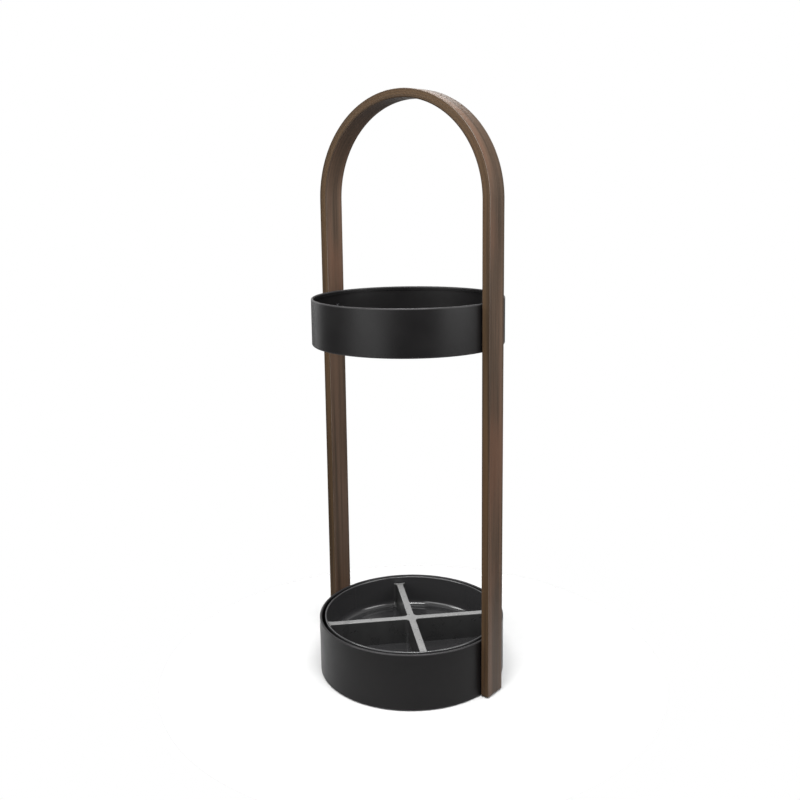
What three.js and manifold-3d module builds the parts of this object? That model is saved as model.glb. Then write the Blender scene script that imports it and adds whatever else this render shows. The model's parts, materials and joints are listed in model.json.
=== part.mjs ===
// Umbrella stand: a bentwood hoop carries an open steel ring halfway up and a steel cup at its foot.
// A drip tray with a cross divider stands in the cup on a ballast plate.
// Millimetres, +Z up, origin on the floor under the middle of the stand.
// The hoop stands in the XZ plane, so its legs are at -X (left) and +X (right), and -Y is the front.

import * as THREE from 'three';
import { mergeVertices } from 'three/addons/utils/BufferGeometryUtils.js';
import Module from 'manifold-3d';

const wasm = await Module();
wasm.setup();

// Driving dimensions
const gap = 0.3; // clearance between two pieces that touch
const ringRadius = 125; // outside of the ring and of the cup
const sheet = 1.5; // steel sheet of the ring and of the cup
const hemThickness = 2 * sheet; // the sheet folded back on itself at an edge
const hemHeight = 5;

const stripThickness = 11.5; // bentwood strip
const stripWidth = 32;
const stripEdgeRadius = 1.5;
const footCornerRadius = 3.5;
const legClearance = 0.8; // the legs end just above the floor
const archInnerRadius = ringRadius + gap;
const archOuterRadius = archInnerRadius + stripThickness;
const archCentreHeight = 632.5;

const upperRingBottom = 450;
const upperRingTop = 509.8;
const upperScrewHeights = [464, 488];

const cupTop = 76.5;
const cupBottom = 0.8;
const cupFloorUnderside = 6;
const cupFloorTop = cupFloorUnderside + sheet;
const cupFloorRadius = 116; // where the raised floor turns down to the standing edge
const cupEdgeInnerRadius = 119.5;
const cupScrewHeights = [24, 54];

const ballastRadius = 108;
const ballastBottom = cupFloorTop + gap;
const ballastTop = ballastBottom + 8;
const ballastChamfer = 1;

const trayWall = 2.4;
const trayOuterRadius = 118;
const trayInnerRadius = trayOuterRadius - trayWall;
const trayTop = 76.5;
const trayFloorTop = 33;
const trayFloorUnderside = trayFloorTop - trayWall;
const trayCornerRadius = 9; // inside, between floor and wall
const trayRibRadius = 100; // ring-shaped rib that the tray stands on
const trayRibBottom = ballastTop + gap;

const dividerTop = 67.5;
const dividerHalfWidth = 4.5;
const dividerHubFillet = 7;
const dividerEndFlare = 4;
const dividerEdgeRadius = 0.8;
const dividerTurn = THREE.MathUtils.degToRad(47); // the arms point between the legs, a little askew

const footCircleRadius = 92;
const footTopRadius = 11;
const footBottomRadius = 9.5;
const footHeight = cupFloorUnderside - gap;
const footRecessRadius = 5.2;
const footRecessDepth = 2.6;
const footEdge = 0.6; // the small chamfer where a foot meets the floor

const ringScrew = {
  headRadius: 4.5,
  headHeight: 2.6,
  shankRadius: 2.5,
  shankLength: 9.5,
  socketRadius: 1.75,
};
const footScrew = {
  headRadius: 4.2,
  headHeight: 1.9,
  shankRadius: 2,
  shankLength: 12,
  socketRadius: 1.45,
};
const screwCrown = 0.6; // flat middle of a screw's head, as a part of its radius
const screwRim = 0.3; // straight side of a screw's head, as a part of its height
const socketFloor = 0.35; // what is left under the socket, as a part of the head's height
const insertOuterRadius = 3.7;
const insertLength = 7.7;

const roundSteps = 56; // facets round the large parts, a multiple of four
const smallSteps = 16; // facets round screws, inserts and feet
const hexagon = 6;
const archSteps = 40; // facets along the bend
const cornerSteps = 3; // facets round the corners of an outline
const arcSteps = 2; // three.js makes twice as many facets on each profile arc
const overrun = 1; // how far a cutting shape runs past what it cuts
const wallOverrun = 10; // the same, through the steel wall and its hem

const colours = {
  walnut: new THREE.MeshStandardMaterial({ color: 0x5c4638, roughness: 0.55, metalness: 0 }),
  blackSteel: new THREE.MeshStandardMaterial({ color: 0x1c1b1c, roughness: 0.5, metalness: 0.3 }),
  blackPlastic: new THREE.MeshStandardMaterial({ color: 0x161617, roughness: 0.2, metalness: 0 }),
  greyPlastic: new THREE.MeshStandardMaterial({ color: 0x8f8f8f, roughness: 0.3, metalness: 0 }),
  castIron: new THREE.MeshStandardMaterial({ color: 0x4a4a4c, roughness: 0.7, metalness: 0.6 }),
  zinc: new THREE.MeshStandardMaterial({ color: 0xb4b6b8, roughness: 0.35, metalness: 1 }),
  blackZinc: new THREE.MeshStandardMaterial({ color: 0x2c2c2e, roughness: 0.4, metalness: 1 }),
  brass: new THREE.MeshStandardMaterial({ color: 0xb08d4a, roughness: 0.35, metalness: 1 }),
  rubber: new THREE.MeshStandardMaterial({ color: 0x202020, roughness: 0.9, metalness: 0 }),
};

const stand = new THREE.Group();

// Solids: a closed geometry becomes a manifold solid, is cut, and goes back to a geometry.

function signedVolume(positions, triangles) {
  const a = new THREE.Vector3();
  const b = new THREE.Vector3();
  const c = new THREE.Vector3();
  let volume = 0;
  for (let i = 0; i < triangles.length; i += 3) {
    a.fromArray(positions, triangles[i] * 3);
    b.fromArray(positions, triangles[i + 1] * 3);
    c.fromArray(positions, triangles[i + 2] * 3);
    volume += a.dot(b.cross(c)) / 6;
  }
  return volume;
}

function toSolid(geometry) {
  const bare = geometry.clone();
  bare.deleteAttribute('normal');
  bare.deleteAttribute('uv');
  const merged = mergeVertices(bare, 1e-4);
  const index = merged.index.array;
  const triangles = [];
  for (let i = 0; i < index.length; i += 3) {
    const corners = [index[i], index[i + 1], index[i + 2]];
    if (new Set(corners).size === 3) {
      triangles.push(...corners);
    }
  }
  const positions = Float32Array.from(merged.attributes.position.array);
  if (signedVolume(positions, triangles) < 0) {
    triangles.reverse();
  }
  const mesh = new wasm.Mesh({
    numProp: 3,
    vertProperties: positions,
    triVerts: Uint32Array.from(triangles),
  });
  return new wasm.Manifold(mesh);
}

function addPiece(name, material, solid) {
  const cut = solid.getMesh();
  const geometry = new THREE.BufferGeometry();
  const positions = Float32Array.from(cut.vertProperties);
  geometry.setAttribute('position', new THREE.BufferAttribute(positions, 3));
  geometry.setIndex(Array.from(cut.triVerts));
  geometry.computeVertexNormals();
  const piece = new THREE.Mesh(geometry, material);
  piece.name = name;
  stand.add(piece);
  return piece;
}

// A profile of radius and height, spun about the Z axis.
function spin(profile, steps) {
  return toSolid(new THREE.LatheGeometry(profile.getPoints(arcSteps), steps).rotateX(Math.PI / 2));
}

// An upright outline in X and Y, raised between two heights, with rounded edges of the given radius.
function raise(outline, bottom, top, edgeRadius) {
  const geometry = new THREE.ExtrudeGeometry(outline, {
    depth: top - bottom - 2 * edgeRadius,
    bevelEnabled: edgeRadius > 0,
    bevelThickness: edgeRadius,
    bevelSize: edgeRadius,
    bevelOffset: -edgeRadius,
    bevelSegments: 2,
    curveSegments: cornerSteps,
  });
  return toSolid(geometry.translate(0, 0, bottom + edgeRadius));
}

// A cylinder along +Z from one height to another.
function drill(radius, bottom, top, steps = smallSteps) {
  const geometry = new THREE.CylinderGeometry(radius, radius, top - bottom, steps);
  return toSolid(geometry.rotateX(Math.PI / 2).translate(0, 0, (top + bottom) / 2));
}

// The same cylinder lying along +X or -X, at a given height.
function drillSideways(side, radius, from, to, height) {
  return drill(radius, from, to).rotate([0, side * 90, 0]).translate([0, 0, height]);
}

function turned(solid, angle) {
  return solid.rotate([0, 0, THREE.MathUtils.radToDeg(angle)]);
}

const sides = { left: -1, right: 1 };
const corners = { rear_right: 1, rear_left: 3, front_left: 5, front_right: 7 };
const screwLevels = { lower: 0, upper: 1 };

// Every place where a leg is screwed to the ring or to the cup.
function eachRingScrew(action) {
  for (const [sideName, side] of Object.entries(sides)) {
    for (const [level, number] of Object.entries(screwLevels)) {
      action(`ring_{}_${sideName}_${level}`, side, upperScrewHeights[number]);
      action(`cup_{}_${sideName}_${level}`, side, cupScrewHeights[number]);
    }
  }
}

// Every foot, with its screw, on a circle under the cup floor.
function eachFoot(action) {
  for (const [cornerName, eighth] of Object.entries(corners)) {
    const angle = (eighth * Math.PI) / 4;
    action(cornerName, [footCircleRadius * Math.cos(angle), footCircleRadius * Math.sin(angle), 0]);
  }
}

function cutRingScrewHoles(solid, radius, from, to) {
  let cut = solid;
  eachRingScrew((name, side, height) => {
    cut = cut.subtract(drillSideways(side, radius, from, to, height));
  });
  return cut;
}

function cutSteelWall(solid) {
  const from = ringRadius - wallOverrun;
  const to = ringRadius + wallOverrun;
  return cutRingScrewHoles(solid, ringScrew.shankRadius + gap, from, to);
}

function cutFootScrewHoles(solid) {
  let cut = solid;
  eachFoot((name, place) => {
    cut = cut.subtract(drill(footScrew.shankRadius + gap, 0, ballastTop + overrun).translate(place));
  });
  return cut;
}

// Bentwood hoop: one laminated strip, two straight legs joined by a half circle.
function archOutline() {
  const outline = new THREE.Shape();
  const right = Math.PI / 2;
  const low = legClearance + footCornerRadius;
  const addArc = (x, y, radius, start, end, steps) => {
    for (let step = 0; step <= steps; step += 1) {
      const angle = start + ((end - start) * step) / steps;
      outline.lineTo(x + radius * Math.cos(angle), y + radius * Math.sin(angle));
    }
  };
  const inner = archInnerRadius + footCornerRadius;
  const outer = archOuterRadius - footCornerRadius;
  outline.moveTo(inner, legClearance);
  addArc(outer, low, footCornerRadius, -right, 0, cornerSteps);
  addArc(0, archCentreHeight, archOuterRadius, 0, 2 * right, archSteps);
  addArc(-outer, low, footCornerRadius, 2 * right, 3 * right, cornerSteps);
  addArc(-inner, low, footCornerRadius, -right, 0, cornerSteps);
  addArc(0, archCentreHeight, archInnerRadius, 2 * right, 0, archSteps);
  addArc(inner, low, footCornerRadius, 2 * right, 3 * right, cornerSteps);
  return outline;
}

function makeArch() {
  const flat = raise(archOutline(), -stripWidth / 2, stripWidth / 2, stripEdgeRadius);
  const holeStart = archInnerRadius - overrun;
  const holeEnd = archInnerRadius + gap + insertLength + gap;
  const hoop = cutRingScrewHoles(flat.rotate([90, 0, 0]), insertOuterRadius + gap, holeStart, holeEnd);
  addPiece('bentwood_arch', colours.walnut, hoop);
}

// The folded edge of a steel part: up the inside of the hem, over the rounded top, to the outside.
function foldOver(profile, top) {
  const half = hemThickness / 2;
  profile.lineTo(ringRadius - sheet, top - hemHeight);
  profile.lineTo(ringRadius - hemThickness, top - hemHeight);
  profile.lineTo(ringRadius - hemThickness, top - half);
  profile.absarc(ringRadius - half, top - half, half, Math.PI, 0, true);
}

// Upper ring: an open hoop of sheet steel, folded at both edges.
function makeUpperRing() {
  const half = hemThickness / 2;
  const profile = new THREE.Path();
  profile.moveTo(ringRadius - sheet, upperRingBottom + hemHeight);
  foldOver(profile, upperRingTop);
  profile.lineTo(ringRadius, upperRingBottom + half);
  profile.absarc(ringRadius - half, upperRingBottom + half, half, 0, Math.PI, true);
  profile.lineTo(ringRadius - hemThickness, upperRingBottom + hemHeight);
  profile.lineTo(ringRadius - sheet, upperRingBottom + hemHeight);
  addPiece('upper_ring', colours.blackSteel, cutSteelWall(spin(profile, roundSteps)));
}

// Base cup: a drawn steel pan with a folded rim, a raised floor and a standing edge under its wall.
function makeBaseCup() {
  const profile = new THREE.Path();
  profile.moveTo(0, cupFloorTop);
  profile.lineTo(cupFloorRadius + sheet / 2, cupFloorTop);
  profile.lineTo(cupEdgeInnerRadius + sheet / 2, cupBottom + sheet);
  profile.lineTo(ringRadius - sheet, cupBottom + sheet);
  foldOver(profile, cupTop);
  profile.lineTo(ringRadius, cupBottom + sheet);
  profile.absarc(ringRadius - sheet, cupBottom + sheet, sheet, 0, -Math.PI / 2, true);
  profile.lineTo(cupEdgeInnerRadius, cupBottom);
  profile.lineTo(cupFloorRadius, cupFloorUnderside);
  profile.lineTo(0, cupFloorUnderside);
  const cup = cutSteelWall(spin(profile, roundSteps));
  addPiece('base_cup', colours.blackSteel, cutFootScrewHoles(cup));
}

// Ballast plate: a cast disc on the cup floor, held by the foot screws.
function makeBallast() {
  const profile = new THREE.Path();
  profile.moveTo(0, ballastBottom);
  profile.lineTo(ballastRadius, ballastBottom);
  profile.lineTo(ballastRadius, ballastTop - ballastChamfer);
  profile.lineTo(ballastRadius - ballastChamfer, ballastTop);
  profile.lineTo(0, ballastTop);
  addPiece('ballast_plate', colours.castIron, cutFootScrewHoles(spin(profile, roundSteps)));
}

// Drip tray: a moulded dish with a rounded corner inside, standing on a ring-shaped rib.
function makeDripTray() {
  const rim = trayWall / 2;
  const corner = trayCornerRadius;
  const outerCorner = corner + trayWall;
  const profile = new THREE.Path();
  profile.moveTo(0, trayFloorTop);
  profile.lineTo(trayInnerRadius - corner, trayFloorTop);
  profile.absarc(trayInnerRadius - corner, trayFloorTop + corner, corner, -Math.PI / 2, 0, false);
  profile.lineTo(trayInnerRadius, trayTop - rim);
  profile.absarc(trayInnerRadius + rim, trayTop - rim, rim, Math.PI, 0, true);
  profile.lineTo(trayOuterRadius, trayFloorUnderside + outerCorner);
  profile.absarc(trayInnerRadius - corner, trayFloorTop + corner, outerCorner, 0, -Math.PI / 2, true);
  profile.lineTo(trayRibRadius + trayWall / 2, trayFloorUnderside);
  profile.lineTo(trayRibRadius + trayWall / 2, trayRibBottom);
  profile.lineTo(trayRibRadius - trayWall / 2, trayRibBottom);
  profile.lineTo(trayRibRadius - trayWall / 2, trayFloorUnderside);
  profile.lineTo(0, trayFloorUnderside);
  addPiece('drip_tray', colours.blackPlastic, spin(profile, roundSteps));
}

// The divider's outline, one quarter after another: the end of one arm, the hub's fillet, the next arm.
function dividerOutline() {
  const outline = new THREE.Shape();
  const wide = dividerHalfWidth;
  const hub = wide + dividerHubFillet;
  const reach = trayInnerRadius + overrun;
  const flare = wide + dividerEndFlare;
  const flareStart = reach - 2 * dividerEndFlare;
  const place = (quarter, along, across) => {
    const point = new THREE.Vector2(along, across);
    return point.rotateAround(new THREE.Vector2(), quarter * Math.PI / 2);
  };
  const line = (quarter, along, across) => {
    const end = place(quarter, along, across);
    outline.lineTo(end.x, end.y);
  };
  const curve = (quarter, pullAlong, pullAcross, along, across) => {
    const pull = place(quarter, pullAlong, pullAcross);
    const end = place(quarter, along, across);
    outline.quadraticCurveTo(pull.x, pull.y, end.x, end.y);
  };
  outline.moveTo(reach, -flare);
  for (let quarter = 0; quarter < 4; quarter += 1) {
    line(quarter, reach, flare);
    curve(quarter, reach - dividerEndFlare / 2, wide, flareStart, wide);
    line(quarter, hub, wide);
    curve(quarter, wide, wide, wide, hub);
    line(quarter, wide, flareStart);
    curve(quarter, wide, reach - dividerEndFlare / 2, flare, reach);
  }
  return outline;
}

// The room inside the tray, less the clearance: it trims the divider's ends to the tray's wall.
function trayRoom() {
  const corner = trayCornerRadius;
  const wall = trayInnerRadius - gap;
  const floor = trayFloorTop + gap;
  const profile = new THREE.Path();
  profile.moveTo(0, floor);
  profile.lineTo(wall - corner, floor);
  profile.absarc(wall - corner, floor + corner, corner, -Math.PI / 2, 0, false);
  profile.lineTo(wall, trayTop);
  profile.lineTo(0, trayTop);
  return spin(profile, roundSteps);
}

// Cross divider: four upright walls that keep the umbrellas apart.
function makeDivider() {
  const walls = raise(dividerOutline(), trayFloorTop + gap, dividerTop, dividerEdgeRadius);
  addPiece('cross_divider', colours.greyPlastic, turned(walls, dividerTurn).intersect(trayRoom()));
}

// A pan-head screw with a hexagon socket, pointing along +Z, its head resting at height 0.
function makeScrew(size) {
  const { headRadius, headHeight, shankRadius, shankLength, socketRadius } = size;
  const profile = new THREE.Path();
  profile.moveTo(0, -headHeight);
  profile.lineTo(headRadius * screwCrown, -headHeight);
  profile.quadraticCurveTo(headRadius, -headHeight, headRadius, -headHeight * screwRim);
  profile.lineTo(headRadius, 0);
  profile.lineTo(shankRadius, 0);
  profile.lineTo(shankRadius, shankLength - shankRadius / 2);
  profile.lineTo(shankRadius / 2, shankLength);
  profile.lineTo(0, shankLength);
  const socket = drill(socketRadius, -headHeight - overrun, -headHeight * socketFloor, hexagon);
  return spin(profile, smallSteps).subtract(socket);
}

// Ring screws and the threaded inserts in the wood that they go into.
function makeRingScrews() {
  const wallInside = Math.sqrt((ringRadius - sheet) ** 2 - ringScrew.headRadius ** 2);
  const headSeat = wallInside - gap;
  const screw = makeScrew(ringScrew).translate([0, 0, headSeat]);
  const start = archInnerRadius + gap;
  const end = start + insertLength;
  const bore = drill(ringScrew.shankRadius + gap, start - overrun, end + overrun);
  const insert = drill(insertOuterRadius, start, end).subtract(bore);
  eachRingScrew((name, side, height) => {
    const laid = (solid) => solid.rotate([0, side * 90, 0]).translate([0, 0, height]);
    addPiece(name.replace('{}', 'screw'), colours.blackZinc, laid(screw));
    addPiece(name.replace('{}', 'insert'), colours.brass, laid(insert));
  });
}

// Rubber feet, each held up against the cup floor by a screw into the ballast plate.
function makeFeet() {
  const profile = new THREE.Path();
  profile.moveTo(0, footHeight);
  profile.lineTo(footTopRadius, footHeight);
  profile.lineTo(footBottomRadius, footEdge);
  profile.lineTo(footBottomRadius - footEdge, 0);
  profile.lineTo(0, 0);
  const pad = spin(profile, smallSteps)
    .subtract(drill(footRecessRadius, -overrun, footRecessDepth))
    .subtract(drill(footScrew.shankRadius + gap, 0, footHeight + overrun));
  const screw = makeScrew(footScrew).translate([0, 0, footRecessDepth - gap]);
  eachFoot((name, place) => {
    addPiece(`foot_${name}`, colours.rubber, pad.translate(place));
    addPiece(`foot_screw_${name}`, colours.zinc, screw.translate(place));
  });
}

makeArch();
makeUpperRing();
makeBaseCup();
makeBallast();
makeDripTray();
makeDivider();
makeRingScrews();
makeFeet();

export default stand;
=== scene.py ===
"""Looks of the umbrella stand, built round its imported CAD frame. Metres, +Z up, the front is -Y."""

import json
import math

import bmesh
import bpy
from mathutils import Matrix, Vector


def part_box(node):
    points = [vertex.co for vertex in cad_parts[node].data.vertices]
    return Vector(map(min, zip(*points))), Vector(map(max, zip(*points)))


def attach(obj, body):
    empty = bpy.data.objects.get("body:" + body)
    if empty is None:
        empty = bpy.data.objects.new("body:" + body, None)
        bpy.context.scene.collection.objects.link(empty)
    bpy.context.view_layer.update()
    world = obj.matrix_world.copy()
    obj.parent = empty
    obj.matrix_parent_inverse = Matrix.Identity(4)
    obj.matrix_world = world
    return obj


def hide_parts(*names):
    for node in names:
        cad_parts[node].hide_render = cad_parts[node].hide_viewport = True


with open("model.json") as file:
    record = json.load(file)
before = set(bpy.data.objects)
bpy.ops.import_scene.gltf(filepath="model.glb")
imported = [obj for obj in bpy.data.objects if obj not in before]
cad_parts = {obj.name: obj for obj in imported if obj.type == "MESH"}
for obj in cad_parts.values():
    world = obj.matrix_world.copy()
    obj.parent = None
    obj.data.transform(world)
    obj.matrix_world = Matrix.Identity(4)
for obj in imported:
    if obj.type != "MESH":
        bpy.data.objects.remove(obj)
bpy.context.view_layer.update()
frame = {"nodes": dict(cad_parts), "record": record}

MM = 0.001
TAU = 2 * math.pi

# Places and sizes that the frame gives
hoop_low, hoop_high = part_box("bentwood_arch")
ring_low, ring_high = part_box("upper_ring")
cup_low, cup_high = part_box("base_cup")
tray_low, tray_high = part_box("drip_tray")
divider_low, divider_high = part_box("cross_divider")
plate_low, plate_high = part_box("ballast_plate")
foot_low, foot_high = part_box("foot_rear_right")

GAP = 0.3 * MM
STEEL_RADIUS = ring_high.x
HOOP_OUTER = hoop_high.x
HOOP_INNER = STEEL_RADIUS + GAP
BEND_HEIGHT = hoop_high.z - HOOP_OUTER
STRIP_THICKNESS = HOOP_OUTER - HOOP_INNER
STRIP_WIDTH = hoop_high.y - hoop_low.y

# Sizes that are finer than a box can tell
STRIP_EDGE = 1.5 * MM
FOOT_EDGE = 3.0 * MM
PLY = STRIP_THICKNESS / 8
SHEET = 1.5 * MM
HEM = 2 * SHEET
HEM_HEIGHT = 5 * MM
CUP_FLOOR_UNDER = foot_high.z + GAP
CUP_FLOOR_TOP = CUP_FLOOR_UNDER + SHEET
CUP_FLOOR_RADIUS = 116 * MM
CUP_EDGE_INNER = 119.5 * MM
TRAY_WALL = 2.4 * MM
TRAY_OUTER = tray_high.x
TRAY_INNER = TRAY_OUTER - TRAY_WALL
TRAY_FLOOR = divider_low.z - GAP
TRAY_CORNER = 9 * MM
TRAY_RIB_RADIUS = 100 * MM
DIVIDER_HALF_WIDTH = 4.5 * MM
DIVIDER_HUB_FILLET = 7 * MM
DIVIDER_FLARE = 4 * MM
DIVIDER_EDGE = 0.8 * MM
DIVIDER_TURN = math.radians(47)
EDGE_SUPPORT = 0.6 * MM
HEM_LIP = 0.5 * MM
PLATE_EDGE = 1.0 * MM
WALL_CUT = 10 * MM

# Screws, inserts and feet
RING_SHANK = 2.5 * MM
RING_HEAD_RADIUS = 4.5 * MM
RING_HEAD_HEIGHT = 2.6 * MM
RING_SOCKET = 1.75 * MM
FOOT_SHANK = 2.0 * MM
FOOT_HEAD_RADIUS = 4.2 * MM
FOOT_HEAD_HEIGHT = 1.9 * MM
FOOT_SOCKET = 1.45 * MM
HEAD_CHAMFER = 0.15 * MM
THREAD_PITCH = 0.8 * MM
THREAD_DEPTH = 0.25 * MM
SCREW_TAPER = 0.9 * MM
INSERT_RADIUS = 3.7 * MM
INSERT_LENGTH = 7.7 * MM
FOOT_TOP_RADIUS = 11 * MM
FOOT_TOP_EDGE = 0.4 * MM
FOOT_BOTTOM_RADIUS = 9.5 * MM
FOOT_BOTTOM_EDGE = 0.6 * MM
FOOT_RECESS_RADIUS = 5.2 * MM
FOOT_RECESS_DEPTH = 2.6 * MM
FOOT_RECESS_EDGE = 0.3 * MM

# How finely round things are divided
ROUND_STEPS = 224
BEND_STEPS = 112
FLOOR_STEPS = 96
FOOT_STEPS = 64
SMALL_STEPS = 48

# The main view: from the front right, a little above the ring
CAMERA_AZIMUTH = math.radians(38.34)
CAMERA_YAW = math.radians(0.52)
CAMERA_PITCH = math.radians(9.95)
CAMERA_ROLL = math.radians(-0.72)
CAMERA_DISTANCE = 1.2248
CAMERA_HEIGHT = 0.6516
CAMERA_LENS = 42.88
CAMERA_SENSOR = 36
CAMERA_SHIFT = -0.06

# Soft light from overhead, a key light, a box at each side, two small ones on the left, two behind.
# Each box is (name, degrees round from the camera, distance, height, width, tallness, radiance),
# in metres, and faces the stand at AIM_HEIGHT.
OVERHEAD_STRENGTH = 1.3
OVERHEAD_SPREAD = math.radians(100)
SOFTBOXES = (
    ("key", 3, 0.62, 1.45, 0.8, 0.3, 40.0),
    ("left_box", -44, 1.7, 0.8, 1.36, 1.4, 5.2),
    ("right_box", 56, 0.9, 0.72, 0.76, 0.76, 6.3),
    ("high_box", -76, 1.5, 1.15, 0.4, 0.7, 14.0),
    ("rim_box", -132, 1.5, 0.75, 0.3, 1.2, 2.8),
    ("back_top", 180, 0.7, 1.5, 0.8, 0.3, 13.0),
    ("backdrop", 180, 1.6, 0.9, 2.6, 1.2, 0.6),
)
AIM_HEIGHT = 0.35
WORLD_SHOWN = 1.0
WORLD_LIT = 0.3
FLOOR_RADIUS = 0.34

SIDES = {"left": -1, "right": 1}
LEVELS = ("lower", "upper")
CORNERS = ("rear_right", "rear_left", "front_left", "front_right")


# ---------------------------------------------------------------- materials


class Shader:
    """A node material in the making: a Principled shader and short ways to add nodes to it."""

    def __init__(self, name, roughness, metallic=0.0, specular=0.5):
        self.material = bpy.data.materials.new(name)
        self.material.use_nodes = True
        self.tree = self.material.node_tree
        self.surface = self.tree.nodes["Principled BSDF"]
        self.surface.inputs["Roughness"].default_value = roughness
        self.surface.inputs["Metallic"].default_value = metallic
        self.surface.inputs["Specular IOR Level"].default_value = specular

    def node(self, kind, **settings):
        made = self.tree.nodes.new(kind)
        for key, value in settings.items():
            setattr(made, key, value)
        return made

    def link(self, source, target):
        self.tree.links.new(source, target)

    def place(self):
        """Position on the piece, which stays with it when it moves."""
        return self.node("ShaderNodeTexCoord").outputs["Object"]

    def attribute(self, name, output="Fac"):
        return self.node("ShaderNodeAttribute", attribute_name=name).outputs[output]

    def stretched(self, vector, scale):
        made = self.node("ShaderNodeMapping")
        made.inputs["Scale"].default_value = scale
        self.link(vector, made.inputs["Vector"])
        return made.outputs["Vector"]

    def noise(self, vector, scale=1.0, detail=2.0, roughness=0.5):
        made = self.node("ShaderNodeTexNoise")
        made.inputs["Scale"].default_value = scale
        made.inputs["Detail"].default_value = detail
        made.inputs["Roughness"].default_value = roughness
        self.link(vector, made.inputs["Vector"])
        return made.outputs["Fac"]

    def ramp(self, value, low, high, out_low=0.0, out_high=1.0):
        made = self.node("ShaderNodeMapRange", interpolation_type="SMOOTHSTEP")
        made.inputs["From Min"].default_value = low
        made.inputs["From Max"].default_value = high
        made.inputs["To Min"].default_value = out_low
        made.inputs["To Max"].default_value = out_high
        self.link(value, made.inputs["Value"])
        return made.outputs["Result"]

    def math(self, operation, first, second=None):
        made = self.node("ShaderNodeMath", operation=operation)
        for socket, value in zip(made.inputs, (first, second)):
            if isinstance(value, (int, float)):
                socket.default_value = value
            elif value is not None:
                self.link(value, socket)
        return made.outputs["Value"]

    def mix(self, amount, first, second):
        """Blends two colours. Each value is a colour, a number or a socket."""
        made = self.node("ShaderNodeMix", data_type="RGBA", blend_type="MIX")
        # Input 0 is the amount; inputs 6 and 7 and output 2 are the ones for colours
        for socket, value in zip((made.inputs[0], made.inputs[6], made.inputs[7]), (amount, first, second)):
            if isinstance(value, tuple):
                socket.default_value = (*value, 1.0)
            elif isinstance(value, (int, float)):
                socket.default_value = value
            else:
                self.link(value, socket)
        return made.outputs[2]

    def colour(self, value):
        self.link(value, self.surface.inputs["Base Color"])

    def specular(self, value):
        self.link(value, self.surface.inputs["Specular IOR Level"])

    def roughness(self, value):
        self.link(value, self.surface.inputs["Roughness"])

    def bump(self, height, distance, strength=1.0):
        made = self.node("ShaderNodeBump")
        made.inputs["Distance"].default_value = distance
        made.inputs["Strength"].default_value = strength
        self.link(height, made.inputs["Height"])
        self.link(made.outputs["Normal"], self.surface.inputs["Normal"])


def walnut():
    """Stained laminated strip: grain runs along it, glue lines show on its narrow edges. Its rounded edges
    are darkened as painted shade, with a painted highlight line along their middle.
    """
    s = Shader("walnut", roughness=0.5, specular=0.22)
    grain = s.attribute("grain", "Vector")
    streaks = s.noise(s.stretched(grain, (2.2, 130, 130)), detail=4, roughness=0.6)
    fibres = s.noise(s.stretched(grain, (9, 800, 800)), detail=3, roughness=0.55)
    pores = s.noise(s.stretched(grain, (40, 1500, 1500)), detail=1)
    blotches = s.noise(s.stretched(grain, (5, 14, 14)), detail=2)
    base = s.mix(s.ramp(streaks, 0.36, 0.62), (0.022, 0.0135, 0.0078), (0.0560, 0.0325, 0.0205))
    base = s.mix(s.ramp(blotches, 0.5, 0.72, 0.0, 0.6), base, (0.071, 0.032, 0.018))
    base = s.mix(s.ramp(fibres, 0.35, 0.7, 0.0, 0.3), base, (0.082, 0.053, 0.034))
    pore = s.ramp(pores, 0.62, 0.72)
    base = s.mix(s.math("MULTIPLY", pore, 0.35), base, (0.022, 0.012, 0.008))
    split = s.node("ShaderNodeSeparateXYZ")
    s.link(grain, split.inputs["Vector"])
    layer = s.math("FRACT", s.math("DIVIDE", split.outputs["Z"], PLY))
    line = s.ramp(s.math("ABSOLUTE", s.math("SUBTRACT", layer, 0.5)), 0.42, 0.48)
    edge = s.attribute("side")
    cross = s.mix(s.ramp(streaks, 0.38, 0.62), (0.0195, 0.0115, 0.0052), (0.0395, 0.0232, 0.0098))
    base = s.mix(s.math("MULTIPLY", edge, 0.8), base, cross)
    s.specular(s.ramp(edge, 0.0, 1.0, 0.22, 0.09))
    glue = s.math("MULTIPLY", line, edge)
    base = s.mix(s.math("MULTIPLY", glue, 0.6), base, (0.014, 0.008, 0.005))
    corner = s.attribute("edge_rounding")
    # Painted shade: the rounded edges are darkened.
    painted_edge_shade = s.ramp(corner, 0.0, 0.35, 0.0, 0.75)
    base = s.mix(painted_edge_shade, base, (0.014, 0.008, 0.005))
    # Painted highlight: a light line along the middle of each rounded edge, broken up by the streaks.
    painted_edge_highlight = s.math("MULTIPLY", s.ramp(corner, 0.75, 1.0), s.ramp(streaks, 0.38, 0.6, 0.1, 0.8))
    base = s.mix(painted_edge_highlight, base, (0.180, 0.138, 0.100))
    s.colour(base)
    s.roughness(s.ramp(fibres, 0.3, 0.7, 0.42, 0.6))
    relief = s.math("SUBTRACT", s.math("MULTIPLY", fibres, 0.5), s.math("MULTIPLY", pore, 0.8))
    relief = s.math("SUBTRACT", relief, s.math("MULTIPLY", glue, 0.6))
    s.bump(relief, 0.035 * MM)
    return s.material


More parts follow.
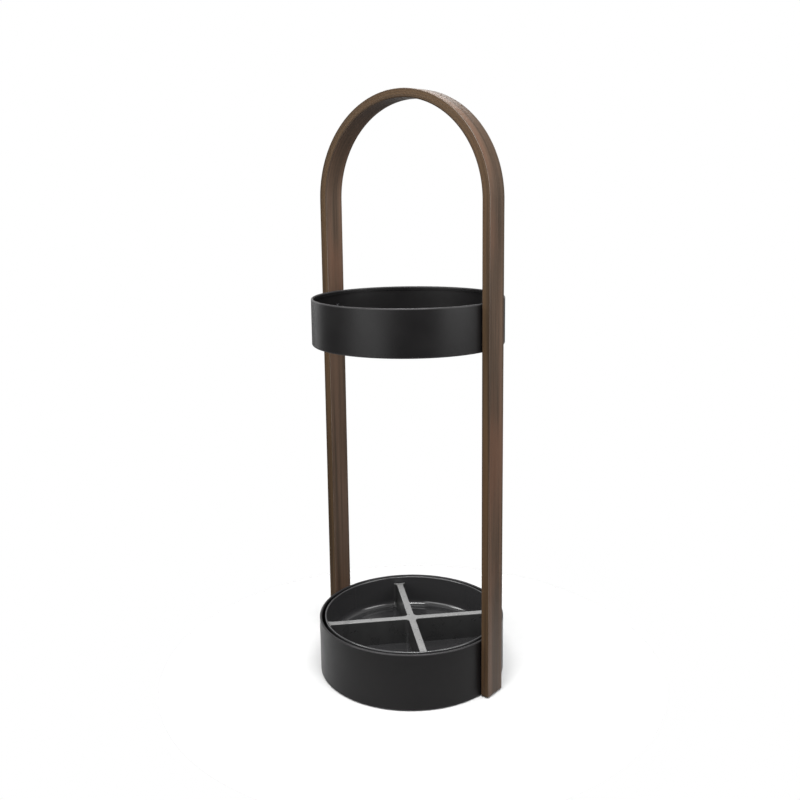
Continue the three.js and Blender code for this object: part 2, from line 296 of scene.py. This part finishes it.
def powder_coat():
    """Black satin powder coat: a fine orange-peel skin, with a painted highlight along its rounded edges."""
    s = Shader("black powder coat", roughness=0.38, specular=0.17)
    place = s.place()
    peel = s.noise(place, scale=1300, detail=2, roughness=0.5)
    cloud = s.noise(place, scale=22, detail=3)
    base = s.mix(cloud, (0.0022, 0.0020, 0.0022), (0.0034, 0.0031, 0.0032))
    # Painted highlight: the rounded edges of the hems are made lighter, unevenly.
    painted_coat_highlight = s.math("MULTIPLY", s.attribute("edge_rounding"), s.ramp(cloud, 0.3, 0.7, 0.4, 1.0))
    base = s.mix(s.math("MULTIPLY", painted_coat_highlight, 0.6), base, (0.030, 0.029, 0.030))
    s.colour(base)
    haze = s.math("ADD", s.math("MULTIPLY", peel, 0.4), s.math("MULTIPLY", cloud, 0.6))
    s.roughness(s.ramp(haze, 0.3, 0.7, 0.34, 0.44))
    s.bump(peel, 0.06 * MM, 0.7)
    return s.material


def tray_plastic():
    """Black moulded plastic, glossy, with faint scuffs on the floor where tips stand and a painted highlight
    along its rounded rim.
    """
    s = Shader("black moulded plastic", roughness=0.12, specular=0.45)
    place = s.place()
    smudge = s.noise(place, scale=35, detail=4, roughness=0.6)
    scuff = s.noise(s.stretched(place, (900, 130, 400)), detail=3)
    split = s.node("ShaderNodeSeparateXYZ")
    s.link(place, split.inputs["Vector"])
    low_down = s.ramp(split.outputs["Z"], TRAY_FLOOR + MM, TRAY_FLOOR + TRAY_CORNER, 1.0, 0.0)
    scuff = s.math("MULTIPLY", s.ramp(scuff, 0.58, 0.75), low_down)
    base = s.mix(s.math("MULTIPLY", scuff, 0.2), (0.017, 0.0168, 0.0174), (0.04, 0.04, 0.04))
    # Painted highlight: the rounded rim is made lighter.
    base = s.mix(s.math("MULTIPLY", s.attribute("edge_rounding"), 0.4), base, (0.03, 0.03, 0.031))
    s.colour(base)
    s.roughness(s.math("ADD", s.ramp(smudge, 0.3, 0.7, 0.09, 0.15), s.math("MULTIPLY", scuff, 0.08)))
    s.bump(smudge, 0.06 * MM, 0.5)
    return s.material


def divider_plastic():
    """Black moulded plastic: the top of the walls is painted light grey as a painted reflection, while the
    sides keep the plastic's own black.
    """
    s = Shader("black moulded plastic with painted top reflection", roughness=0.3, specular=0.35)
    place = s.place()
    split = s.node("ShaderNodeSeparateXYZ")
    s.link(place, split.inputs["Vector"])
    crown = s.ramp(split.outputs["Z"], divider_high.z - 1.6 * MM, divider_high.z - 0.5 * MM)
    cloud = s.noise(place, scale=60, detail=3)
    grit = s.noise(place, scale=1500, detail=2)
    # Painted reflection: the top faces are light grey, the sides black.
    top = s.mix(cloud, (0.090, 0.090, 0.090), (0.135, 0.135, 0.133))
    side = s.mix(cloud, (0.012, 0.012, 0.0122), (0.017, 0.017, 0.017))
    s.colour(s.mix(crown, side, top))
    s.roughness(s.ramp(cloud, 0.3, 0.7, 0.26, 0.38))
    s.bump(grit, 0.04 * MM, 0.5)
    return s.material


def cast_iron():
    s = Shader("cast iron", roughness=0.75, metallic=0.55, specular=0.4)
    place = s.place()
    lumps = s.noise(place, scale=420, detail=4, roughness=0.65)
    rust = s.noise(place, scale=30, detail=3)
    base = s.mix(lumps, (0.035, 0.035, 0.037), (0.085, 0.085, 0.088))
    base = s.mix(s.ramp(rust, 0.58, 0.75, 0.0, 0.35), base, (0.09, 0.045, 0.025))
    s.colour(base)
    s.roughness(s.ramp(lumps, 0.3, 0.7, 0.6, 0.85))
    s.bump(lumps, 0.5 * MM)
    return s.material


def plated(name, light, dark, roughness):
    """Plated or turned metal, a little cloudy, with fine turning marks."""
    s = Shader(name, roughness=roughness, metallic=1.0)
    place = s.place()
    cloud = s.noise(place, scale=260, detail=3)
    marks = s.noise(s.stretched(place, (4000, 4000, 4000)), detail=1)
    s.colour(s.mix(cloud, dark, light))
    s.roughness(s.ramp(cloud, 0.3, 0.7, roughness - 0.06, roughness + 0.1))
    s.bump(marks, 0.02 * MM, 0.5)
    return s.material


def rubber():
    s = Shader("rubber", roughness=0.85, specular=0.3)
    place = s.place()
    grit = s.noise(place, scale=1800, detail=3)
    dust = s.noise(place, scale=90, detail=3)
    s.colour(s.mix(s.ramp(dust, 0.4, 0.75), (0.014, 0.014, 0.014), (0.035, 0.034, 0.033)))
    s.roughness(s.ramp(grit, 0.3, 0.7, 0.75, 0.92))
    s.bump(grit, 0.05 * MM)
    return s.material


def floor_paper():
    s = Shader("floor", roughness=0.9, specular=0.1)
    fibre = s.noise(s.place(), scale=60, detail=3)
    s.colour(s.mix(fibre, (0.41, 0.41, 0.41), (0.43, 0.43, 0.43)))
    return s.material


MATERIALS = {
    "walnut": walnut(),
    "black_steel": powder_coat(),
    "black_plastic": tray_plastic(),
    "grey_plastic": divider_plastic(),
    "cast_iron": cast_iron(),
    "zinc": plated("zinc plate", (0.62, 0.63, 0.65), (0.46, 0.47, 0.49), 0.3),
    "black_zinc": plated("black zinc", (0.022, 0.022, 0.023), (0.013, 0.013, 0.014), 0.42),
    "brass": plated("brass", (0.72, 0.52, 0.22), (0.52, 0.36, 0.14), 0.3),
    "rubber": rubber(),
}


# ---------------------------------------------------------------- mesh making


class Profile:
    """A closed profile of radius and height for spinning about Z, with each point's share of a rounded edge
    marked, which the materials use for painted edge highlights.
    """

    SUPPORT = 0.5 * MM

    def __init__(self):
        self.points = []

    def to(self, radius, height, edge_rounding=0.0):
        self.points.append((radius, height, edge_rounding))
        return self

    def arc(self, radius, height, size, start, end, edge_rounding=1.0, steps=8):
        """An arc about (radius, height), in degrees, with a support point on the straight at each end."""
        turn = 1 if end > start else -1
        for step in range(steps + 1):
            angle = math.radians(start + (end - start) * step / steps)
            along = (-math.sin(angle) * turn, math.cos(angle) * turn)
            point = (radius + size * math.cos(angle), height + size * math.sin(angle))
            if step == 0:
                self.to(point[0] - along[0] * self.SUPPORT, point[1] - along[1] * self.SUPPORT)
            self.to(point[0], point[1], edge_rounding)
            if step == steps:
                self.to(point[0] + along[0] * self.SUPPORT, point[1] + along[1] * self.SUPPORT)
        return self


def mesh_object(name, bm):
    bmesh.ops.recalc_face_normals(bm, faces=bm.faces)
    mesh = bpy.data.meshes.new(name)
    bm.to_mesh(mesh)
    bm.free()
    made = bpy.data.objects.new(name, mesh)
    bpy.context.scene.collection.objects.link(made)
    return made


def spin(name, profile, steps=ROUND_STEPS):
    """Spins a closed profile about Z. Points on the axis become one vertex."""
    bm = bmesh.new()
    edge_rounding = bm.verts.layers.float.new("edge_rounding")
    columns = []
    for radius, height, amount in profile.points:
        count = 1 if radius < 1e-7 else steps
        column = []
        for step in range(count):
            angle = TAU * step / steps
            vert = bm.verts.new((radius * math.cos(angle), radius * math.sin(angle), height))
            vert[edge_rounding] = amount
            column.append(vert)
        columns.append(column)
    pairs = list(zip(columns, columns[1:]))
    if len(columns[0]) > 1 or len(columns[-1]) > 1:
        pairs.append((columns[-1], columns[0]))
    for first, second in pairs:
        for step in range(steps):
            corners = [
                first[step % len(first)],
                first[(step + 1) % len(first)],
                second[(step + 1) % len(second)],
                second[step % len(second)],
            ]
            distinct = list(dict.fromkeys(corners))
            if len(distinct) > 2:
                bm.faces.new(distinct)
    return mesh_object(name, bm)


def rod(radius, start, end, steps=SMALL_STEPS):
    """A plain cylinder along Z, used for cutting."""
    profile = Profile().to(0, start).to(radius, start).to(radius, end).to(0, end)
    return spin("cutter", profile, steps)


def moved(piece, matrix):
    piece.data.transform(matrix)
    return piece


def sideways(side, height):
    """Turns what lies along +Z to lie along +X or -X, at a given height."""
    return Matrix.Translation((0, 0, height)) @ Matrix.Rotation(math.radians(90 * side), 4, "Y")


def cut(piece, cutter):
    """Cuts the cutter away from the piece, and removes the cutter."""
    change = piece.modifiers.new("cut", "BOOLEAN")
    change.operation = "DIFFERENCE"
    change.solver = "EXACT"
    change.object = cutter
    graph = bpy.context.evaluated_depsgraph_get()
    result = bpy.data.meshes.new_from_object(piece.evaluated_get(graph))
    piece.modifiers.clear()
    old = piece.data
    piece.data = result
    bpy.data.meshes.remove(old)
    bpy.data.meshes.remove(cutter.data)
    return piece


def joined(cutters):
    """One object that holds all the cutters, which don't touch each other."""
    bm = bmesh.new()
    for cutter in cutters:
        bm.from_mesh(cutter.data)
        bpy.data.meshes.remove(cutter.data)
    return mesh_object("cutter", bm)


def dress(piece, slot, node, smooth_angle=35):
    """Gives a finished piece its material, shading and body, and hides the CAD node that it stands in for.
    """
    piece.data.materials.clear()
    piece.data.materials.append(MATERIALS[slot])
    for face in piece.data.polygons:
        face.use_smooth = True
        face.material_index = 0
    piece.data.set_sharp_from_angle(angle=math.radians(smooth_angle))
    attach(piece, body_of(node))
    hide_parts(node)
    return piece


def body_of(node):
    bodies = frame["record"]["behaviour"]["bodies"]
    return next(body for body, members in bodies.items() if node in members)


# ---------------------------------------------------------------- screws and their places


def ring_screw_places():
    """The name, side and height of each screw from the ring or the cup into a leg, read from the CAD."""
    for part in ("ring", "cup"):
        for side_name, side in SIDES.items():
            for level in LEVELS:
                name = f"{part}_screw_{side_name}_{level}"
                low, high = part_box(name)
                yield name, side, (low.z + high.z) / 2


def foot_places():
    for corner in CORNERS:
        low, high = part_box(f"foot_{corner}")
        yield corner, Vector(((low.x + high.x) / 2, (low.y + high.y) / 2, 0))


def ring_screw_cutters(radius, start, end, parts=("ring", "cup")):
    cutters = []
    for name, side, height in ring_screw_places():
        if name.startswith(parts):
            cutters.append(moved(rod(radius, start, end), sideways(side, height)))
    return joined(cutters)


def wall_cutters(part):
    """The screw holes through the wall of the ring or of the cup."""
    return ring_screw_cutters(RING_SHANK + GAP, STEEL_RADIUS - WALL_CUT, STEEL_RADIUS + WALL_CUT, (part,))


def foot_screw_cutters():
    cutters = []
    for corner, place in foot_places():
        cutters.append(moved(rod(FOOT_SHANK + GAP, -MM, plate_high.z + MM), Matrix.Translation(place)))
    return joined(cutters)


def screw(name, head_radius, head_height, shank_radius, length, socket_radius):
    """Pan-head screw with a hexagon socket, pointing along +Z, its head resting at height 0."""
    dome = 0.55 * head_height
    flat_radius = 0.45 * head_radius
    socket_end = -0.35 * head_height
    profile = Profile()
    profile.to(0, -head_height)
    profile.to(flat_radius, -head_height)
    steps = 8
    for step in range(steps + 1):
        angle = math.radians(90 * step / steps)
        across = flat_radius + (head_radius - flat_radius) * math.sin(angle)
        profile.to(across, -head_height + dome * (1 - math.cos(angle)), 0.6)
    profile.to(head_radius, -HEAD_CHAMFER)
    profile.to(head_radius - HEAD_CHAMFER, 0)
    profile.to(shank_radius, 0)
    height = THREAD_PITCH
    while height < length - 1.5 * THREAD_PITCH:
        profile.to(shank_radius - THREAD_DEPTH, height)
        profile.to(shank_radius, height + THREAD_PITCH / 2)
        height += THREAD_PITCH
    profile.to(shank_radius - THREAD_DEPTH, height)
    profile.to(shank_radius - SCREW_TAPER, length)
    profile.to(0, length)
    made = spin(name, profile, SMALL_STEPS)
    return cut(made, rod(socket_radius, -head_height - MM, socket_end, 6))


# ---------------------------------------------------------------- bentwood hoop


def strip_section(half_thickness, half_width, corner):
    """Points round the strip's section as (across thickness, across width, share of the way round a rounded
    corner, side). The wood's painted edge shade and highlight follow the third.

    Each rounded corner has a point just before and after it, so that the flat faces stay flat.
    """
    points = []
    steps = 6
    support = 0.3 * MM
    for quarter, (sign_n, sign_y) in enumerate(((1, -1), (1, 1), (-1, 1), (-1, -1))):
        centre = Vector((sign_n * (half_thickness - corner), sign_y * (half_width - corner)))
        for step in range(-1, steps + 2):
            inside = min(max(step, 0), steps)
            turn = math.radians(90 * (quarter - 1) + 90 * inside / steps)
            run = Vector((-math.sin(turn), math.cos(turn))) * support * (step - inside)
            place = centre + Vector((math.cos(turn), math.sin(turn))) * corner + run
            rounding_share = 0.0 if step != inside else 1 - abs(2 * step / steps - 1)
            points.append((place.x, place.y, rounding_share, math.sin(turn) ** 2))
    return points


def strip_stations():
    """Stations along the strip, from the right foot over the bend to the left foot.

    Each is (x, z, outward x, outward z, distance along the strip, inset of the section at the foot).
    """
    # One leg as (height, inset), rounded at the foot
    leg = []
    rounded = 5
    for step in range(rounded + 1):
        angle = math.radians(90 * step / rounded)
        rise = FOOT_EDGE * (1 - math.cos(angle))
        leg.append((hoop_low.z + rise, FOOT_EDGE * (1 - math.sin(angle))))
    start = leg[-1][0]
    straight = 24
    for step in range(1, straight):
        leg.append((start + (BEND_HEIGHT - start) * step / straight, 0.0))
    middle = (HOOP_INNER + HOOP_OUTER) / 2
    bend_length = math.pi * middle
    stations = [(middle, z, 1, 0, z, inset) for z, inset in leg]
    for step in range(BEND_STEPS + 1):
        angle = math.pi * step / BEND_STEPS
        out = (math.cos(angle), math.sin(angle))
        along = BEND_HEIGHT + bend_length * step / BEND_STEPS
        stations.append((middle * out[0], BEND_HEIGHT + middle * out[1], out[0], out[1], along, 0.0))
    whole = 2 * BEND_HEIGHT + bend_length
    for z, inset in reversed(leg):
        stations.append((-middle, z, -1, 0, whole - z, inset))
    return stations


def make_hoop():
    bm = bmesh.new()
    edge_rounding = bm.verts.layers.float.new("edge_rounding")
    side = bm.verts.layers.float.new("side")
    grain = bm.verts.layers.float_vector.new("grain")
    rings = []
    for x, z, out_x, out_z, along, inset in strip_stations():
        half_thickness = STRIP_THICKNESS / 2 - inset
        half_width = STRIP_WIDTH / 2 - inset
        corner = max(STRIP_EDGE - inset, 0.3 * MM)
        ring = []
        for across, wide, rounding_share, edge in strip_section(half_thickness, half_width, corner):
            vert = bm.verts.new((x + out_x * across, wide, z + out_z * across))
            vert[edge_rounding] = rounding_share
            vert[side] = edge
            vert[grain] = (along, wide, across + STRIP_THICKNESS / 2)
            ring.append(vert)
        rings.append(ring)
    for first, second in zip(rings, rings[1:]):
        for number in range(len(first)):
            following = (number + 1) % len(first)
            bm.faces.new((first[number], first[following], second[following], second[number]))
    bm.faces.new(rings[0])
    bm.faces.new(rings[-1])
    hoop = mesh_object("hoop", bm)
    hole_end = HOOP_INNER + 2 * GAP + INSERT_LENGTH
    cut(hoop, ring_screw_cutters(INSERT_RADIUS + GAP, HOOP_INNER - MM, hole_end))
    return dress(hoop, "walnut", "bentwood_arch", 50)


# ---------------------------------------------------------------- steel ring and cup


def fold_over(profile, top):
    """Up the inside of a hem, over its rounded top and on to the outside of the wall."""
    profile.to(STEEL_RADIUS - SHEET, top - HEM_HEIGHT - EDGE_SUPPORT)
    profile.to(STEEL_RADIUS - SHEET, top - HEM_HEIGHT)
    profile.arc(STEEL_RADIUS - HEM + HEM_LIP, top - HEM_HEIGHT + HEM_LIP, HEM_LIP, 270, 180, 0.3, 4)
    profile.arc(STEEL_RADIUS - HEM / 2, top - HEM / 2, HEM / 2, 180, 0, 1.0, 14)


def make_ring():
    bottom = ring_low.z
    profile = Profile()
    profile.to(STEEL_RADIUS - SHEET, bottom + HEM_HEIGHT + EDGE_SUPPORT)
    fold_over(profile, ring_high.z)
    profile.arc(STEEL_RADIUS - HEM / 2, bottom + HEM / 2, HEM / 2, 0, -180, 1.0, 14)
    profile.arc(STEEL_RADIUS - HEM + HEM_LIP, bottom + HEM_HEIGHT - HEM_LIP, HEM_LIP, 180, 90, 0.3, 4)
    profile.to(STEEL_RADIUS - SHEET, bottom + HEM_HEIGHT)
    ring = spin("ring", profile)
    return dress(cut(ring, wall_cutters("ring")), "black_steel", "upper_ring")


def make_cup():
    bottom = cup_low.z
    profile = Profile()
    profile.to(0, CUP_FLOOR_TOP)
    profile.to(CUP_FLOOR_RADIUS + SHEET / 2 - MM, CUP_FLOOR_TOP)
    profile.to(CUP_FLOOR_RADIUS + SHEET / 2, CUP_FLOOR_TOP)
    profile.to(CUP_EDGE_INNER + SHEET / 2, bottom + SHEET)
    profile.to(STEEL_RADIUS - SHEET - MM, bottom + SHEET)
    profile.to(STEEL_RADIUS - SHEET, bottom + SHEET + MM)
    fold_over(profile, cup_high.z)
    profile.arc(STEEL_RADIUS - SHEET, bottom + SHEET, SHEET, 0, -90, 0.8, 8)
    profile.to(CUP_EDGE_INNER, bottom)
    profile.to(CUP_FLOOR_RADIUS, CUP_FLOOR_UNDER)
    profile.to(CUP_FLOOR_RADIUS - MM, CUP_FLOOR_UNDER)
    profile.to(0, CUP_FLOOR_UNDER)
    cup = spin("cup", profile)
    cut(cup, wall_cutters("cup"))
    cut(cup, foot_screw_cutters())
    return dress(cup, "black_steel", "base_cup")


# ---------------------------------------------------------------- what stands in the cup


def make_plate():
    rim = plate_high.x - PLATE_EDGE
    profile = Profile()
    profile.to(0, plate_low.z)
    profile.arc(rim, plate_low.z + PLATE_EDGE, PLATE_EDGE, -90, 0, 0.5, 5)
    profile.arc(rim, plate_high.z - PLATE_EDGE, PLATE_EDGE, 0, 90, 0.5, 5)
    profile.to(0, plate_high.z)
    return dress(cut(spin("plate", profile), foot_screw_cutters()), "cast_iron", "ballast_plate")


def make_tray():
    rim = TRAY_WALL / 2
    corner = TRAY_CORNER
    centre = TRAY_INNER - corner
    under = TRAY_FLOOR - TRAY_WALL
    profile = Profile()
    profile.to(0, TRAY_FLOOR)
    profile.arc(centre, TRAY_FLOOR + corner, corner, 270, 360, 0.0, 16)
    profile.arc(TRAY_INNER + rim, tray_high.z - rim, rim, 180, 0, 1.0, 12)
    profile.arc(centre, TRAY_FLOOR + corner, corner + TRAY_WALL, 0, -90, 0.0, 16)
    profile.to(TRAY_RIB_RADIUS + rim, under)
    profile.to(TRAY_RIB_RADIUS + rim, tray_low.z)
    profile.to(TRAY_RIB_RADIUS - rim, tray_low.z)
    profile.to(TRAY_RIB_RADIUS - rim, under)
    profile.to(0, under)
    return dress(spin("tray", profile), "black_plastic", "drip_tray")


def curve_points(start, pull, end, steps):
    """Points of a quadratic curve, without its start."""
    for step in range(1, steps + 1):
        t = step / steps
        yield start * (1 - t) ** 2 + pull * (2 * t * (1 - t)) + end * t**2


def divider_outline(reach):
    """The divider in plan with its arms along X and Y. Their flared ends lie on a circle of radius reach."""
    wide = DIVIDER_HALF_WIDTH
    hub = Vector((wide + DIVIDER_HUB_FILLET, wide))
    flare_start = Vector((reach - 2 * DIVIDER_FLARE, wide))
    half_angle = math.asin((wide + DIVIDER_FLARE) / reach)
    end_steps = 4
    curve_steps = 10
    half = []
    for step in range(end_steps + 1):
        angle = half_angle * step / end_steps
        half.append(Vector((reach * math.cos(angle), reach * math.sin(angle))))
    half += curve_points(half[-1], Vector((reach - DIVIDER_FLARE / 2, wide)), flare_start, curve_steps)
    half.append(hub)
    fillet = list(curve_points(hub, Vector((wide, wide)), hub.yx, curve_steps))
    half += fillet[: curve_steps // 2]
    mirrored = [point.yx for point in reversed(half)]
    quarter = half + mirrored[1:-1]
    points = []
    for number in range(4):
        turn = Matrix.Rotation(math.radians(90 * number), 2)
        points += [turn @ point for point in quarter]
    return points


def divider_levels():
    """Heights of the divider with the reach of its arms and the inset of its rounded top edge."""
    bottom = divider_low.z
    top = divider_high.z
    wall = TRAY_INNER - GAP
    steps = 12
    for step in range(steps + 1):
        angle = math.radians(90 * step / steps)
        height = bottom + TRAY_CORNER * (1 - math.cos(angle))
        yield height, wall - TRAY_CORNER * (1 - math.sin(angle)), 0.0
    yield top - DIVIDER_EDGE - EDGE_SUPPORT, wall, 0.0
    steps = 7
    for step in range(steps + 1):
        angle = math.radians(90 * step / steps)
        yield top - DIVIDER_EDGE * (1 - math.sin(angle)), wall, DIVIDER_EDGE * (1 - math.cos(angle))


def close_divider(bm, ring):
    """Covers the divider's top or bottom: strips across each arm, and a square over the hub."""
    count = len(ring)
    quarter = count // 4
    middle = quarter // 2
    for arm in range(4):
        tip = arm * quarter
        for step in range(middle):
            corners = [
                ring[(tip + step) % count],
                ring[(tip + step + 1) % count],
                ring[(tip - step - 1) % count],
                ring[(tip - step) % count],
            ]
            bm.faces.new(list(dict.fromkeys(corners)))
    bm.faces.new([ring[middle + arm * quarter] for arm in range(4)])


def make_divider():
    bm = bmesh.new()
    turn = Matrix.Rotation(DIVIDER_TURN, 2)
    rings = []
    for height, reach, inset in divider_levels():
        outline = divider_outline(reach)
        count = len(outline)
        ring = []
        for number, point in enumerate(outline):
            run = outline[(number + 1) % count] - outline[number - 1]
            normal = Vector((run.y, -run.x)).normalized()
            place = turn @ (point - normal * inset)
            ring.append(bm.verts.new((place.x, place.y, height)))
        rings.append(ring)
    for first, second in zip(rings, rings[1:]):
        for number in range(count):
            following = (number + 1) % count
            bm.faces.new((first[number], first[following], second[following], second[number]))
    close_divider(bm, rings[0])
    close_divider(bm, rings[-1])
    return dress(mesh_object("divider", bm), "grey_plastic", "cross_divider", 40)


# ---------------------------------------------------------------- fixings and feet


def make_ring_screws():
    for name, side, height in ring_screw_places():
        low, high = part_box(name)
        near, far = sorted((abs(low.x), abs(high.x)))
        length = far - near - RING_HEAD_HEIGHT
        fixing = name.replace("_screw_", "_fixing_")
        made = screw(fixing, RING_HEAD_RADIUS, RING_HEAD_HEIGHT, RING_SHANK, length, RING_SOCKET)
        moved(made, sideways(side, height) @ Matrix.Translation((0, 0, near + RING_HEAD_HEIGHT)))
        dress(made, "black_zinc", name)


def foot_profile():
    """A tapered rubber foot with a recess underneath for its screw's head."""
    bottom = foot_low.z
    hole = FOOT_SHANK + GAP
    top_centre = FOOT_TOP_RADIUS - FOOT_TOP_EDGE
    bottom_centre = FOOT_BOTTOM_RADIUS - FOOT_BOTTOM_EDGE
    recess_centre = FOOT_RECESS_RADIUS + FOOT_RECESS_EDGE
    profile = Profile()
    profile.to(hole, foot_high.z)
    profile.arc(top_centre, foot_high.z - FOOT_TOP_EDGE, FOOT_TOP_EDGE, 90, 0, 0.5, 5)
    profile.arc(bottom_centre, bottom + FOOT_BOTTOM_EDGE, FOOT_BOTTOM_EDGE, 0, -90, 1.0, 6)
    profile.arc(recess_centre, bottom + FOOT_RECESS_EDGE, FOOT_RECESS_EDGE, -90, -180, 0.5, 4)
    profile.to(FOOT_RECESS_RADIUS, bottom + FOOT_RECESS_DEPTH)
    profile.to(hole, bottom + FOOT_RECESS_DEPTH)
    return profile


def make_feet():
    for corner, place in foot_places():
        pad = moved(spin(f"pad_{corner}", foot_profile(), FOOT_STEPS), Matrix.Translation(place))
        dress(pad, "rubber", f"foot_{corner}")
        low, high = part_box(f"foot_screw_{corner}")
        length = high.z - low.z - FOOT_HEAD_HEIGHT
        fixing = f"pad_screw_{corner}"
        made = screw(fixing, FOOT_HEAD_RADIUS, FOOT_HEAD_HEIGHT, FOOT_SHANK, length, FOOT_SOCKET)
        moved(made, Matrix.Translation(place + Vector((0, 0, low.z + FOOT_HEAD_HEIGHT))))
        dress(made, "zinc", f"foot_screw_{corner}")


def dress_inserts():
    """The threaded inserts are shut in between wood and steel, so their CAD nodes stay, in brass."""
    for name, node in frame["nodes"].items():
        if "_insert_" in name:
            node.data.materials.clear()
            node.data.materials.append(MATERIALS["brass"])


# ---------------------------------------------------------------- studio


def make_floor():
    bm = bmesh.new()
    bmesh.ops.create_circle(bm, cap_ends=True, radius=FLOOR_RADIUS, segments=FLOOR_STEPS)
    floor = mesh_object("floor", bm)
    floor.data.materials.append(floor_paper())


def around(azimuth, distance, height):
    """A place round the stand. Azimuth 0 is in front of it, on -Y, and 90 degrees is on +X."""
    return Vector((math.sin(azimuth) * distance, -math.cos(azimuth) * distance, height))


def make_camera():
    heading = CAMERA_AZIMUTH + CAMERA_YAW
    level = Vector((math.cos(heading), math.sin(heading), 0))
    tilt = math.cos(CAMERA_PITCH)
    forward = Vector((-math.sin(heading) * tilt, math.cos(heading) * tilt, -math.sin(CAMERA_PITCH)))
    upright = level.cross(forward)
    right = level * math.cos(CAMERA_ROLL) + upright * math.sin(CAMERA_ROLL)
    up = upright * math.cos(CAMERA_ROLL) - level * math.sin(CAMERA_ROLL)
    data = bpy.data.cameras.new("camera")
    data.sensor_width = CAMERA_SENSOR
    data.lens = CAMERA_LENS
    data.shift_y = CAMERA_SHIFT
    camera = bpy.data.objects.new("camera", data)
    turn = Matrix((right, up, -forward)).transposed().to_4x4()
    place = around(CAMERA_AZIMUTH, CAMERA_DISTANCE, CAMERA_HEIGHT)
    camera.matrix_world = Matrix.Translation(place) @ turn
    bpy.context.scene.collection.objects.link(camera)
    bpy.context.scene.camera = camera


def softbox(name, azimuth, distance, height, width, tall, radiance):
    """An area light facing the stand. Its radiance doesn't depend on its size."""
    data = bpy.data.lights.new(name, "AREA")
    data.shape = "RECTANGLE"
    data.size = width
    data.size_y = tall
    data.energy = radiance * math.pi * width * tall
    light = bpy.data.objects.new(name, data)
    place = around(azimuth, distance, height)
    aim = Vector((0, 0, AIM_HEIGHT)) - place
    light.location = place
    light.rotation_mode = "QUATERNION"
    light.rotation_quaternion = aim.to_track_quat("-Z", "Y")
    light.visible_camera = False
    bpy.context.scene.collection.objects.link(light)


def make_lights():
    sun = bpy.data.lights.new("overhead", "SUN")
    sun.energy = OVERHEAD_STRENGTH
    sun.angle = OVERHEAD_SPREAD
    overhead = bpy.data.objects.new("overhead", sun)
    bpy.context.scene.collection.objects.link(overhead)
    for name, turn, distance, height, width, tall, radiance in SOFTBOXES:
        softbox(name, CAMERA_AZIMUTH + math.radians(turn), distance, height, width, tall, radiance)


def make_world():
    """White to look at, dimmer to be lit by, so that the black pieces stay black."""
    world = bpy.data.worlds.new("studio")
    bpy.context.scene.world = world
    world.use_nodes = True
    tree = world.node_tree
    shown = tree.nodes["Background"]
    shown.inputs["Color"].default_value = (1, 1, 1, 1)
    shown.inputs["Strength"].default_value = WORLD_SHOWN
    lit = tree.nodes.new("ShaderNodeBackground")
    lit.inputs["Color"].default_value = (1, 1, 1, 1)
    lit.inputs["Strength"].default_value = WORLD_LIT
    path = tree.nodes.new("ShaderNodeLightPath")
    mix = tree.nodes.new("ShaderNodeMixShader")
    tree.links.new(path.outputs["Is Camera Ray"], mix.inputs["Fac"])
    tree.links.new(lit.outputs["Background"], mix.inputs[1])
    tree.links.new(shown.outputs["Background"], mix.inputs[2])
    tree.links.new(mix.outputs["Shader"], tree.nodes["World Output"].inputs["Surface"])


make_hoop()
make_ring()
make_cup()
make_plate()
make_tray()
make_divider()
make_ring_screws()
make_feet()
dress_inserts()
make_floor()
make_camera()
make_lights()
make_world()

scene = bpy.context.scene
scene.view_settings.view_transform = "Standard"
scene.view_settings.look = "None"
